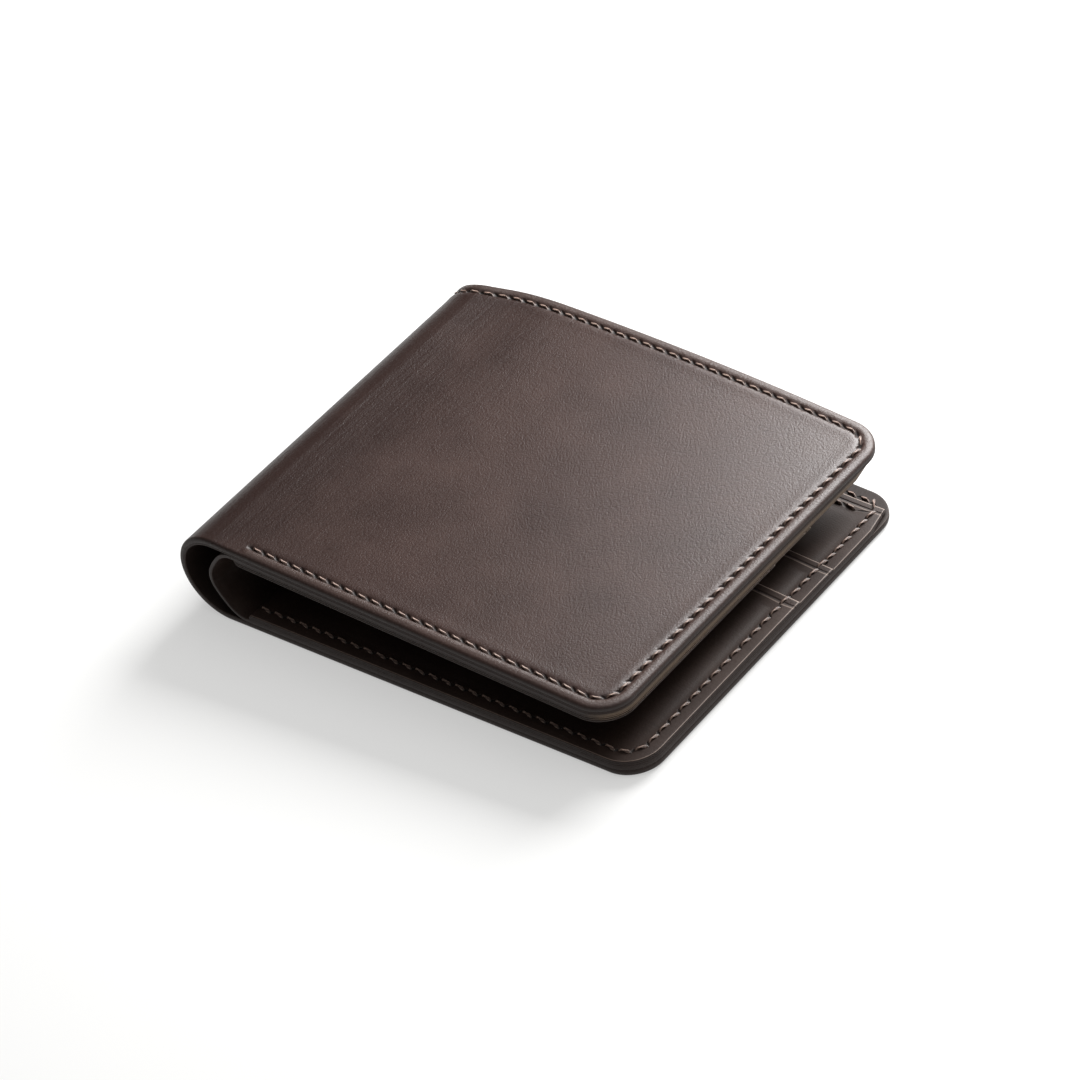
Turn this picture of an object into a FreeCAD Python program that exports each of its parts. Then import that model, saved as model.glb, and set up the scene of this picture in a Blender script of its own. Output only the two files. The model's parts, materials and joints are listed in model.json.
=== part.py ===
"""Leather bifold wallet, folded shut, in millimetres.

The wallet is two leather halves joined by a rounded spine.  The lower half lies flat on z = 0.
x runs from the spine to the opening edges, y from the sewn near edge to the bill mouth, z is up.
The origin is the centre of the bottom of the whole object's box.

Leather bends all along a fold.  Here the spine is cut into slats that are hinged edge to edge on
the shell's outer surface, so it rolls flat as the wallet opens.  The bill divider has its own,
smaller fold inside the spine, cut into slats in the same way.

Each half is drawn in its own frame: "along" is the distance from where the spine's curve starts,
and "depth" is the distance inwards from the outer face.
"""
import FreeCAD, Part
import Sketcher
import math
import os

DIMENSIONS = [
    ("wallet_height", 92.0, "sewn near edge to bill mouth"),
    ("wallet_width", 113.0, "spine to the lower half's opening edge"),
    ("spine_radius", 10.45, "outer surface of the folded spine"),
    ("wedge_angle", 3.2, "the halves close towards each other by this angle"),
    ("half_offset", 4.75, "the upper half stops this far short of the lower one"),
    ("corner_radius", 7.5, "corners at the opening edge"),
    ("shell_leather", 1.1, "thickness of the outer leather"),
    ("shell_lining", 0.5, "thickness of the lining"),
    ("divider_leather", 0.8, "thickness of the bill divider"),
    ("panel_leather", 0.5, "thickness of the card panel"),
    ("slot_leather", 0.45, "thickness of each card slot"),
    ("mouth_step", 4.5, "divider and card panel stop this far inside the bill mouth"),
    ("upper_lip", 64.5, "near edge to the upper card slot's lip"),
    ("bottom_lip", 52.5, "near edge to the bottom card slot's lip"),
    ("pocket_start", 5.4, "the card pockets start this far along from the spine"),
    ("fold_setback", 4.8, "the divider's fold is this far inside the spine"),
    ("fold_radius", 8.1, "outer surface of the divider's fold"),
    ("fold_gap", 0.3, "clear space between the divider's fold and its flat part"),
    ("slat_gap_angle", 0.5, "clear angle between two slats"),
    ("seam_inset", 2.8, "edge to seam"),
    ("panel_seam_inset", 3.0, "card panel's far edge to its seam"),
    ("pocket_seam_inset", 2.0, "spine side of the card pockets to its seam"),
    ("seam_start_lower", 6.0, "the lower near seam starts this far along"),
    ("seam_start_upper", 8.3, "the upper near seam starts this far along"),
    ("groove_width", 0.9, "channel that the outer seam lies in"),
    ("groove_depth", 0.6, "channel that the outer seam lies in"),
    ("stitch_pitch", 3.3, "from one stitch to the next"),
    ("stitch_length", 2.6, "visible length of one stitch"),
    ("thread_radius", 0.25, "waxed thread"),
    ("thread_gap", 0.03, "clear space between a thread and curved leather"),
    ("fold_ease", 7.0, "the divider's first and last hinge turn this much less than an even share"),
]
SHELL_HINGES = 3
FOLD_HINGES = 5

doc = FreeCAD.newDocument("bifold_wallet")
sheet = doc.addObject("Spreadsheet::Sheet", "sizes")
for row, (alias, value, meaning) in enumerate(DIMENSIONS, start=1):
    sheet.set("A%d" % row, alias)
    sheet.set("B%d" % row, str(value))
    sheet.setAlias("B%d" % row, alias)
    sheet.set("C%d" % row, meaning)
doc.recompute()


class Size:
    """A number together with the spreadsheet expression that gives it."""

    def __init__(self, number, words):
        self.number = number
        self.words = words

    def __add__(self, other):
        other = as_size(other)
        return Size(self.number + other.number, "(%s + %s)" % (self.words, other.words))

    def __sub__(self, other):
        other = as_size(other)
        return Size(self.number - other.number, "(%s - %s)" % (self.words, other.words))

    def __mul__(self, other):
        other = as_size(other)
        return Size(self.number * other.number, "(%s * %s)" % (self.words, other.words))

    def __truediv__(self, other):
        other = as_size(other)
        return Size(self.number / other.number, "(%s / %s)" % (self.words, other.words))

    def __neg__(self):
        return self * -1

    __rmul__ = __mul__


def as_size(value):
    if isinstance(value, Size):
        return value
    return Size(float(value), "(%s)" % float(value))


def sine(angle):
    return Size(math.sin(math.radians(angle.number)), "sin(%s)" % angle.words)


def cosine(angle):
    return Size(math.cos(math.radians(angle.number)), "cos(%s)" % angle.words)


S = {alias: Size(float(sheet.get(alias)), "sizes.%s" % alias) for alias, value, meaning in DIMENSIONS}

# Sizes worked out from the driving ones.
TURN = S["wedge_angle"] + 180
SHELL_TURN = TURN / SHELL_HINGES
FOLD_TURN = TURN / FOLD_HINGES
SHELL = S["shell_leather"] + S["shell_lining"]
DIVIDER = SHELL + S["divider_leather"]
PANEL = DIVIDER + S["panel_leather"]
SLOT = PANEL + S["slot_leather"]
STACK = SLOT + S["slot_leather"]
SPINE_X = S["spine_radius"] - S["wallet_width"] / 2
FOLD_ALONG = S["fold_setback"] * cosine(S["wedge_angle"] / 2)
FOLD_DEPTH = S["spine_radius"] - S["fold_setback"] * sine(S["wedge_angle"] / 2)
LENGTH = {
    "lower": S["wallet_width"] - S["spine_radius"],
    "upper": S["wallet_width"] - S["spine_radius"] - S["half_offset"],
}
NEAR_EDGE = -(S["wallet_height"] / 2)
MOUTH_EDGE = S["wallet_height"] / 2
PANEL_EDGE = MOUTH_EDGE - S["mouth_step"]
SIDE = {"lower": 1, "upper": -1}
nodes = []


def bind(thing, prop, size):
    thing.setExpression(prop, as_size(size).words)


def keep(thing, label):
    """Name a finished sub-part and list it for export."""
    thing.Label = label
    nodes.append(thing)
    return thing


def place(thing, x=0.0, y=0.0, z=0.0, turn=0.0):
    """Put a sub-part at x, y, z, turned about the y axis."""
    turned = FreeCAD.Rotation(FreeCAD.Vector(0, 1, 0), as_size(turn).number)
    thing.Placement = FreeCAD.Placement(FreeCAD.Vector(0, 0, 0), turned)
    for prop, size in (("x", x), ("y", y), ("z", z)):
        bind(thing, "Placement.Base." + prop, size)
    if isinstance(turn, Size):
        bind(thing, "Placement.Rotation.Angle", turn)


def place_on_half(thing, side):
    """Put a sub-part where its half of the wallet starts, next to the spine."""
    if side == "lower":
        place(thing, SPINE_X)
    else:
        place(thing, SPINE_X - S["spine_radius"] * sine(TURN), 0,
              S["spine_radius"] * (as_size(1) - cosine(TURN)), S["wedge_angle"])


def plane_of(body, role):
    for feature in body.Origin.OriginFeatures:
        if feature.Role == role:
            return feature
    raise RuntimeError("no plane " + role)


def outline(body, name, role, corners):
    """Sketch a closed outline on an origin plane.

    Each corner is (x, y, bend).  bend describes the edge from this corner to the next one:
    None for a straight edge, or (centre x, centre y, radius, +1 anticlockwise or -1 clockwise).
    """
    sketch = body.newObject("Sketcher::SketchObject", name)
    sketch.AttachmentSupport = [(plane_of(body, role), "")]
    sketch.MapMode = "FlatFace"
    corners = [(as_size(x), as_size(y), bend) for x, y, bend in corners]
    points = [FreeCAD.Vector(x.number, y.number, 0) for x, y, bend in corners]
    edges = []
    for index, (x, y, bend) in enumerate(corners):
        start = points[index]
        end = points[(index + 1) % len(points)]
        if bend is None:
            edges.append((sketch.addGeometry(Part.LineSegment(start, end), False), 1, 2, None))
            continue
        centre = FreeCAD.Vector(as_size(bend[0]).number, as_size(bend[1]).number, 0)
        first, last = (start, end) if bend[3] > 0 else (end, start)
        angles = [math.atan2(p.y - centre.y, p.x - centre.x) for p in (first, last)]
        if angles[1] < angles[0]:
            angles[1] += 2 * math.pi
        circle = Part.Circle(centre, FreeCAD.Vector(0, 0, 1), (start - centre).Length)
        number = sketch.addGeometry(Part.ArcOfCircle(circle, angles[0], angles[1]), False)
        edges.append((number, 1, 2, bend[2]) if bend[3] > 0 else (number, 2, 1, bend[2]))
    bound = []
    for index, (number, first, last, radius) in enumerate(edges):
        following = edges[(index + 1) % len(edges)]
        sketch.addConstraint(Sketcher.Constraint("Coincident", number, last, following[0], following[1]))
        for kind, size in (("DistanceX", corners[index][0]), ("DistanceY", corners[index][1])):
            bound.append((Sketcher.Constraint(kind, -1, 1, number, first, size.number), size))
        if radius is not None:
            bound.append((Sketcher.Constraint("Radius", number, radius.number), radius))
    for constraint, size in bound:
        place_in_list = sketch.addConstraint(constraint)
        sketch.setExpression("Constraints[%d]" % place_in_list, size.words)
    return sketch


def pad(body, sketch, thickness):
    """Pad a sketch by the same amount to both sides of its plane."""
    feature = body.newObject("PartDesign::Pad", "pad")
    feature.Profile = sketch
    feature.SideType = "Symmetric"
    bind(feature, "Length", thickness)
    return feature


def pocket(body, sketch, thickness):
    """Cut a sketch away by the same amount to both sides of its plane."""
    before = body.Shape.Volume
    feature = body.newObject("PartDesign::Pocket", "pocket")
    feature.Profile = sketch
    feature.SideType = "Symmetric"
    bind(feature, "Length", thickness)
    doc.recompute()
    if body.Shape.Volume > before - 1.0:
        raise RuntimeError("a pocket in %s removed nothing" % body.Label)
    return feature


def round_corners(body, feature, edge_x, radius):
    """Fillet the upright edges at the opening end of a panel."""
    doc.recompute()
    names = []
    for number, edge in enumerate(feature.Shape.Edges, start=1):
        middle = edge.BoundBox.Center
        upright = edge.BoundBox.XLength < 1e-6 and edge.BoundBox.YLength < 1e-6
        if upright and abs(middle.x - edge_x.number) < 1e-3:
            names.append("Edge%d" % number)
    fillet = body.newObject("PartDesign::Fillet", "round_corners")
    fillet.Base = (feature, names)
    bind(fillet, "Radius", radius)
    doc.recompute()


def cut_far_side(body, edge, length):
    """Trim a panel back to a straight far edge, lip or mouth."""
    margin = 1
    far = MOUTH_EDGE + margin
    beyond = length + margin
    before = -(S["spine_radius"] + margin)
    corners = [(before, edge, None), (beyond, edge, None), (beyond, far, None), (before, far, None)]
    pocket(body, outline(body, "far_trim", "XY_Plane", corners), 4 * S["spine_radius"])


def arc_band(centre_x, centre_y, outer, inner, first_angle, last_angle, sign):
    """A slice of a ring.  Angles start at the side away from the fold's middle, next to the lower half."""
    def rim(radius, angle):
        return centre_x - radius * sine(angle), (centre_y - radius * cosine(angle)) * sign

    middle = (centre_x, centre_y * sign)
    return [
        rim(outer, first_angle) + (middle + (outer, -sign),),
        rim(outer, last_angle) + (None,),
        rim(inner, last_angle) + (middle + (inner, sign),),
        rim(inner, first_angle) + (None,),
    ]


def curled_profile(sign, length, centre, outer, inner, end_angle, start_depth, end_depth, step):
    """Side profile of a sheet that lies flat and curls up into the first part of a fold."""
    centre_along, centre_depth = centre
    curl = arc_band(centre_along, centre_depth, outer, inner, as_size(0), end_angle, sign)
    corners = [(length, start_depth * sign, None)]
    if step is not None:
        corners.append((centre_along, start_depth * sign, None))
    corners += curl
    if step is not None:
        corners.append((centre_along + step, (centre_depth - inner) * sign, None))
        corners.append((centre_along + step, end_depth * sign, None))
    corners.append((length, end_depth * sign, None))
    return corners


def seam_groove(body, start, length):
    """Cut the channel that the outer seam lies in, along three edges of a half."""
    half_width = S["groove_width"] / 2
    inset = S["seam_inset"]
    outer = inset - half_width
    inner = inset + half_width
    centre_x = length - S["corner_radius"]
    near_centre = NEAR_EDGE + S["corner_radius"]
    far_centre = MOUTH_EDGE - S["corner_radius"]
    outer_radius = S["corner_radius"] - outer
    inner_radius = S["corner_radius"] - inner
    corners = [
        (start, NEAR_EDGE + outer, None),
        (centre_x, NEAR_EDGE + outer, (centre_x, near_centre, outer_radius, 1)),
        (length - outer, near_centre, None),
        (length - outer, far_centre, (centre_x, far_centre, outer_radius, 1)),
        (centre_x, MOUTH_EDGE - outer, None),
        (0, MOUTH_EDGE - outer, None),
        (0, MOUTH_EDGE - inner, None),
        (centre_x, MOUTH_EDGE - inner, (centre_x, far_centre, inner_radius, -1)),
        (length - inner, far_centre, None),
        (length - inner, near_centre, (centre_x, near_centre, inner_radius, -1)),
        (centre_x, NEAR_EDGE + inner, None),
        (start, NEAR_EDGE + inner, None),
    ]
    pocket(body, outline(body, "seam_groove", "XY_Plane", corners), 2 * S["groove_depth"])


def curled_groove(body, centre_y, first_angle, last_angle, sign):
    """Carry the mouth seam's channel on round the spine."""
    corners = arc_band(as_size(0), centre_y, S["spine_radius"] + S["groove_depth"],
                       S["spine_radius"] - S["groove_depth"], first_angle, last_angle, sign)
    sketch = outline(body, "curled_groove", "XZ_Plane", corners)
    bind(sketch, "AttachmentOffset.Base.z", S["seam_inset"] - MOUTH_EDGE)
    pocket(body, sketch, S["groove_width"])


def shell_leather(side):
    """Outer leather of one half, with the seam's channel in its outer face."""
    length = LENGTH[side]
    body = doc.addObject("PartDesign::Body", side + "_shell_leather")
    radius = S["spine_radius"]
    profile = curled_profile(SIDE[side], length, (as_size(0), radius), radius, radius - S["shell_leather"],
                             (SHELL_TURN - S["slat_gap_angle"]) / 2, as_size(0), S["shell_leather"], None)
    feature = pad(body, outline(body, "profile", "XZ_Plane", profile), S["wallet_height"])
    round_corners(body, feature, length, S["corner_radius"])
    seam_groove(body, S["seam_start_" + side], length)
    curled_groove(body, radius, as_size(0), SHELL_TURN / 2, SIDE[side])
    place_on_half(keep(body, side + "_shell_leather"), side)


def shell_lining(side):
    """Lining glued to the inside of the outer leather."""
    length = LENGTH[side]
    body = doc.addObject("PartDesign::Body", side + "_shell_lining")
    radius = S["spine_radius"]
    profile = curled_profile(SIDE[side], length, (as_size(0), radius), radius - S["shell_leather"],
                             radius - SHELL, (SHELL_TURN - S["slat_gap_angle"]) / 2,
                             S["shell_leather"], SHELL, None)
    feature = pad(body, outline(body, "profile", "XZ_Plane", profile), S["wallet_height"])
    round_corners(body, feature, length, S["corner_radius"])
    place_on_half(keep(body, side + "_shell_lining"), side)


def bill_divider(side):
    """Inner wall of the bill compartment; the lower one curls up into the divider's fold."""
    length = LENGTH[side]
    body = doc.addObject("PartDesign::Body", side + "_bill_divider")
    sign = SIDE[side]
    start = FOLD_ALONG + S["fold_gap"]
    if side == "lower":
        inner = S["fold_radius"] - S["divider_leather"]
        profile = curled_profile(sign, length, (FOLD_ALONG, FOLD_DEPTH), S["fold_radius"], inner,
                                 (FOLD_TURN - S["slat_gap_angle"]) / 2, SHELL, DIVIDER, S["fold_gap"])
    else:
        profile = [(start, SHELL * sign, None), (length, SHELL * sign, None),
                   (length, DIVIDER * sign, None), (start, DIVIDER * sign, None)]
    feature = pad(body, outline(body, "profile", "XZ_Plane", profile), S["wallet_height"])
    round_corners(body, feature, length, S["corner_radius"])
    cut_far_side(body, PANEL_EDGE, length)
    place_on_half(keep(body, side + "_bill_divider"), side)


def pocket_sheet(side, name, outer_depth, inner_depth, far_edge):
    """One flat leather sheet of the card pockets, from the near edge up to its lip."""
    length = LENGTH[side]
    sign = SIDE[side]
    body = doc.addObject("PartDesign::Body", side + name)
    start = S["pocket_start"]
    profile = [(start, outer_depth * sign, None), (length, outer_depth * sign, None),
               (length, inner_depth * sign, None), (start, inner_depth * sign, None)]
    feature = pad(body, outline(body, "profile", "XZ_Plane", profile), S["wallet_height"])
    round_corners(body, feature, length, S["corner_radius"])
    cut_far_side(body, far_edge, length)
    place_on_half(keep(body, side + name), side)


def fold_slat(label, outer, inner, first_angle, last_angle, width):
    """One slat of a fold: a slice of a tube round the fold's axis."""
    body = doc.addObject("PartDesign::Body", label)
    half = (last_angle - first_angle - S["slat_gap_angle"]) / 2
    corners = arc_band(as_size(0), as_size(0), outer, inner, -half, half, 1)
    pad(body, outline(body, "slice", "XZ_Plane", corners), width)
    doc.recompute()
    return keep(body, label)


def along(side, point_along, point_y, depth):
    """A point of a half in the wallet's frame, as a vector."""
    sign = SIDE[side]
    local = FreeCAD.Vector(point_along, point_y, depth * sign)
    if side == "lower":
        return local + FreeCAD.Vector(SPINE_X.number, 0, 0)
    turned = FreeCAD.Rotation(FreeCAD.Vector(0, 1, 0), S["wedge_angle"].number).multVec(local)
    radius = S["spine_radius"].number
    turn = math.radians(TURN.number)
    return turned + FreeCAD.Vector(SPINE_X.number - radius * math.sin(turn), 0, radius * (1 - math.cos(turn)))


def stitch(middle, direction, length):
    """One visible stitch: a short length of thread."""
    direction.normalize()
    return Part.makeCylinder(S["thread_radius"].number, length, middle - direction * (length / 2), direction)


def stitches_on_path(path, at_depth, side):
    """Stitches at even steps along a list of edges drawn in a half's flat frame."""
    total = sum(edge.Length for edge in path)
    count = int(total / S["stitch_pitch"].number)
    step = total / count
    threads = []
    for number in range(count):
        distance = (number + 0.5) * step
        for edge in path:
            if distance <= edge.Length:
                break
            distance -= edge.Length
        parameter = edge.getParameterByLength(distance)
        middle = edge.valueAt(parameter)
        heading = edge.tangentAt(parameter)
        depth = at_depth(middle)
        start = along(side, middle.x, middle.y, depth)
        ahead = along(side, middle.x + heading.x, middle.y + heading.y, depth)
        threads.append(stitch(start, ahead - start, S["stitch_length"].number))
    return threads


def seam_path(side, start_along, end_along):
    """The seam round three edges of a half: near edge, opening edge and bill mouth."""
    inset = S["seam_inset"].number
    corner = S["corner_radius"].number
    radius = corner - inset
    right = LENGTH[side].number - inset
    near = NEAR_EDGE.number + inset
    far = MOUTH_EDGE.number - inset
    centre_x = LENGTH[side].number - corner
    diagonal = radius * math.sqrt(0.5)
    near_centre = NEAR_EDGE.number + corner
    far_centre = MOUTH_EDGE.number - corner
    point = FreeCAD.Vector
    return [
        Part.makeLine(point(start_along, near, 0), point(centre_x, near, 0)),
        Part.Arc(point(centre_x, near, 0), point(centre_x + diagonal, near_centre - diagonal, 0),
                 point(right, near_centre, 0)).toShape(),
        Part.makeLine(point(right, near_centre, 0), point(right, far_centre, 0)),
        Part.Arc(point(right, far_centre, 0), point(centre_x + diagonal, far_centre + diagonal, 0),
                 point(centre_x, far, 0)).toShape(),
        Part.makeLine(point(centre_x, far, 0), point(end_along, far, 0)),
    ]


def straight_path(first, last):
    return [Part.makeLine(FreeCAD.Vector(first[0], first[1], 0), FreeCAD.Vector(last[0], last[1], 0))]


def seam(label, threads):
    """A row of separate stitches as one node."""
    feature = doc.addObject("Part::Feature", label)
    feature.Shape = Part.makeCompound(threads)
    feature.Placement = FreeCAD.Placement()
    keep(feature, label)


def stack_depth(point):
    """Depth of the inner face of the card pockets at a point of a half."""
    reach = S["stitch_length"].number / 2
    above_near_edge = point.y - reach - NEAR_EDGE.number
    if above_near_edge < S["bottom_lip"].number:
        return STACK.number
    if above_near_edge < S["upper_lip"].number:
        return SLOT.number
    return PANEL.number


def spine_stitches(first_angle, last_angle, count):
    """Stitches of the mouth seam round part of the spine, on its outer and its inner face."""
    radius = S["spine_radius"].number
    thread = S["thread_radius"].number + S["thread_gap"].number
    seam_y = (MOUTH_EDGE - S["seam_inset"]).number
    step = math.radians(last_angle - first_angle) / count
    length = radius * step * S["stitch_length"].number / S["stitch_pitch"].number
    outer = radius - S["groove_depth"].number + thread
    inner = math.sqrt((radius - SHELL.number - thread) ** 2 - (length / 2) ** 2)
    threads = []
    for number in range(count):
        angle = math.radians(first_angle) + step * (number + 0.5)
        for distance in (outer, inner):
            middle = FreeCAD.Vector(SPINE_X.number - distance * math.sin(angle), seam_y,
                                    radius - distance * math.cos(angle))
            threads.append(stitch(middle, FreeCAD.Vector(-math.cos(angle), 0, math.sin(angle)), length))
    return threads


def seams(side):
    """Every row of stitches on one half."""
    thread = S["thread_radius"].number
    start = S["seam_start_" + side].number
    length = LENGTH[side].number
    inset = S["seam_inset"].number
    near = NEAR_EDGE.number + inset
    mouth = MOUTH_EDGE.number - inset
    panel_seam = PANEL_EDGE.number - S["panel_seam_inset"].number
    round_edges = seam_path(side, start, 0.0)
    in_groove = S["groove_depth"].number - thread
    stub = SHELL_TURN.number / 2
    first = 0.0 if side == "lower" else TURN.number - stub
    curled = spine_stitches(first, first + stub, 2)
    outside = stitches_on_path(round_edges, lambda point: in_groove, side)
    seam(side + "_perimeter_seam", outside + curled[::2])
    corner = S["corner_radius"].number
    inside = round_edges[:2] + straight_path((length - inset, NEAR_EDGE.number + corner),
                                             (length - inset, panel_seam))
    seam(side + "_pocket_seam", stitches_on_path(inside, lambda point: stack_depth(point) + thread, side))
    mouth_row = straight_path((length - corner, mouth), (0.0, mouth))
    on_lining = stitches_on_path(mouth_row, lambda point: SHELL.number + thread, side)
    seam(side + "_mouth_seam", on_lining + curled[1::2])
    pocket_side = S["pocket_start"].number + S["pocket_seam_inset"].number
    top_row = straight_path((pocket_side, panel_seam), (length - 2 * inset, panel_seam))
    seam(side + "_panel_top_seam", stitches_on_path(top_row, lambda point: PANEL.number + thread, side))
    side_row = straight_path((pocket_side, near + inset), (pocket_side, panel_seam - inset))
    seam(side + "_pocket_side_seam",
         stitches_on_path(side_row, lambda point: stack_depth(point) + thread, side))


for half_name in ("lower", "upper"):
    shell_leather(half_name)
    shell_lining(half_name)
    bill_divider(half_name)
    pocket_sheet(half_name, "_card_panel", DIVIDER, PANEL, PANEL_EDGE)
    pocket_sheet(half_name, "_card_slot_upper", PANEL, SLOT, NEAR_EDGE + S["upper_lip"])
    pocket_sheet(half_name, "_card_slot_bottom", SLOT, STACK, NEAR_EDGE + S["bottom_lip"])
    seams(half_name)

spine = S["spine_radius"]
for slat in range(1, SHELL_HINGES):
    starts = SHELL_TURN * (slat - 0.5)
    ends = SHELL_TURN * (slat + 0.5)
    leather = fold_slat("spine_leather_%d" % slat, spine, spine - S["shell_leather"], starts, ends,
                        S["wallet_height"])
    curled_groove(leather, as_size(0), -(SHELL_TURN / 2), SHELL_TURN / 2, 1)
    lining = fold_slat("spine_lining_%d" % slat, spine - S["shell_leather"], spine - SHELL, starts, ends,
                       S["wallet_height"])
    for layer in (leather, lining):
        place(layer, SPINE_X, 0, spine, SHELL_TURN * slat)
    seam("spine_mouth_seam_%d" % slat, spine_stitches(starts.number, ends.number, 4))

fold_x = SPINE_X + FOLD_ALONG
for slat in range(1, FOLD_HINGES + 1):
    starts = FOLD_TURN * (slat - 0.5)
    ends = FOLD_TURN * (slat + 0.5) if slat < FOLD_HINGES else TURN
    strip = fold_slat("divider_fold_%d" % slat, S["fold_radius"], S["fold_radius"] - S["divider_leather"],
                      starts, ends, PANEL_EDGE - NEAR_EDGE)
    place(strip, fold_x, (PANEL_EDGE + NEAR_EDGE) / 2, FOLD_DEPTH, (starts + ends) / 2)

doc.recompute()
for thing in doc.Objects:
    if "Invalid" in thing.State or "Error" in thing.State:
        raise RuntimeError("%s failed: %s" % (thing.Label, thing.State))
for node in nodes:
    if node.Shape.isNull() or not node.Shape.isValid():
        raise RuntimeError("%s has no valid shape" % node.Label)

os.makedirs("parts", exist_ok=True)
for node in nodes:
    node.Shape.exportStep("parts/%s.step" % node.Label)
print("%d sub-parts" % len(nodes))
whole = Part.makeCompound([node.Shape for node in nodes]).BoundBox
print("box x %.2f to %.2f, y %.2f to %.2f, z %.2f to %.2f"
      % (whole.XMin, whole.XMax, whole.YMin, whole.YMax, whole.ZMin, whole.ZMax))

# Hinge axes run along -y.  These are the places that the record's joints use, in millimetres.
# The divider's hinges lie outside its fold, so that it reaches across the opened spine.
print("each spine hinge turns %.4f degrees" % SHELL_TURN.number)
for hinge in range(1, SHELL_HINGES + 1):
    angle = math.radians(SHELL_TURN.number * (hinge - 0.5))
    print("spine hinge %d at x %.4f, z %.4f" % (
        hinge, SPINE_X.number - spine.number * math.sin(angle), spine.number * (1 - math.cos(angle))))
ease = S["fold_ease"].number
leans = [ease, ease / 3, -ease / 3, -ease]
half_turn = math.sin(math.radians(FOLD_TURN.number / 2))
span = 2 * (SHELL_HINGES * spine.number * math.sin(math.radians(SHELL_TURN.number / 2)) + FOLD_ALONG.number)
fold_reach = span / (2 * half_turn * (1 + sum(math.cos(math.radians(lean)) for lean in leans)))
for hinge in range(1, FOLD_HINGES + 1):
    angle = math.radians(FOLD_TURN.number * (hinge - 0.5))
    turn = FOLD_TURN.number + (2 * ease / 3 if 1 < hinge < FOLD_HINGES else -ease)
    print("divider hinge %d at x %.4f, z %.4f turns %.4f degrees" % (
        hinge, fold_x.number - fold_reach * math.sin(angle),
        FOLD_DEPTH.number - fold_reach * math.cos(angle), turn))
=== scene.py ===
"""A leather bifold wallet, folded shut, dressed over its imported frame.  Lengths are in metres."""
import json
import math

import bmesh
import bpy
import numpy as np
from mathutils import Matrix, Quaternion, Vector


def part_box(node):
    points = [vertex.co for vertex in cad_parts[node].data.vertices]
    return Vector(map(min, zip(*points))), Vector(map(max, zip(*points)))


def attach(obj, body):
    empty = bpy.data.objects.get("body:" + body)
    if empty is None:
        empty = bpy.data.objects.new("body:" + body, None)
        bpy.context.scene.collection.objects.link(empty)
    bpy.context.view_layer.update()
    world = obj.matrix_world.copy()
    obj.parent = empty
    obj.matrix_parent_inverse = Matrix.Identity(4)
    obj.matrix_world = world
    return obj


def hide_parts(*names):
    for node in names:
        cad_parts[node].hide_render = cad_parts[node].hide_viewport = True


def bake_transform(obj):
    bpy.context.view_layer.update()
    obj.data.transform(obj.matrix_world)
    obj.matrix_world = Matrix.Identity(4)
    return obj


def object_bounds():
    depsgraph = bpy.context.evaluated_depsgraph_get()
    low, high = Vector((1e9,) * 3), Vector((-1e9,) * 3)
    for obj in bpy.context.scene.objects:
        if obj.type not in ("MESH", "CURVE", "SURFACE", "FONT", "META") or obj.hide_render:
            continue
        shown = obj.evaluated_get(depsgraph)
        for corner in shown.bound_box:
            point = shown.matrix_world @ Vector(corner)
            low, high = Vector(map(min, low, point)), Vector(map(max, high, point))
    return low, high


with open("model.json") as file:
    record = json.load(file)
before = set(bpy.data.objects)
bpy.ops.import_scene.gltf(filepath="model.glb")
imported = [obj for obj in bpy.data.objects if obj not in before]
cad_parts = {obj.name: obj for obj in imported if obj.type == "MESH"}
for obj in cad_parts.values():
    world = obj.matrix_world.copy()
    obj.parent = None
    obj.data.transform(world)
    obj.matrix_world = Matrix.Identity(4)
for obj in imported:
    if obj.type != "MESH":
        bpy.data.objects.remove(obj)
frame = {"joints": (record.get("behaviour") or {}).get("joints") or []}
frame_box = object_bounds()

MM = 0.001

# Sizes that the frame gives.
HINGES = {joint["name"]: joint for joint in frame["joints"]}
SPINE_TURNS = [math.radians(HINGES["shell_fold_%d" % k]["range_deg"][1]) for k in (1, 2, 3)]
SPINE_TURN = sum(SPINE_TURNS)
WEDGE = SPINE_TURN - math.pi
NEAR = frame_box[0].y
MOUTH = frame_box[1].y
SPINE_RADIUS = (frame_box[1].z - frame_box[0].z) / 2
SPINE_X = frame_box[0].x + SPINE_RADIUS
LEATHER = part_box("lower_shell_lining")[0].z
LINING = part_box("lower_bill_divider")[0].z
DIVIDER, PANEL = (corner.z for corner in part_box("lower_card_panel"))
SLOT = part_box("lower_card_slot_upper")[1].z
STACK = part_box("lower_card_slot_bottom")[1].z
PANEL_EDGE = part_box("lower_card_panel")[1].y
UPPER_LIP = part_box("lower_card_slot_upper")[1].y
BOTTOM_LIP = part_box("lower_card_slot_bottom")[1].y
POCKET_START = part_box("lower_card_panel")[0].x - SPINE_X
UPPER_X = SPINE_X - SPINE_RADIUS * math.sin(SPINE_TURN)
UPPER_Z = SPINE_RADIUS * (1 - math.cos(SPINE_TURN))
LENGTH = {
    "lower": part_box("lower_card_panel")[1].x - SPINE_X,
    "upper": (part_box("upper_shell_leather")[1].x - UPPER_X) / math.cos(WEDGE),
}

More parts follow.
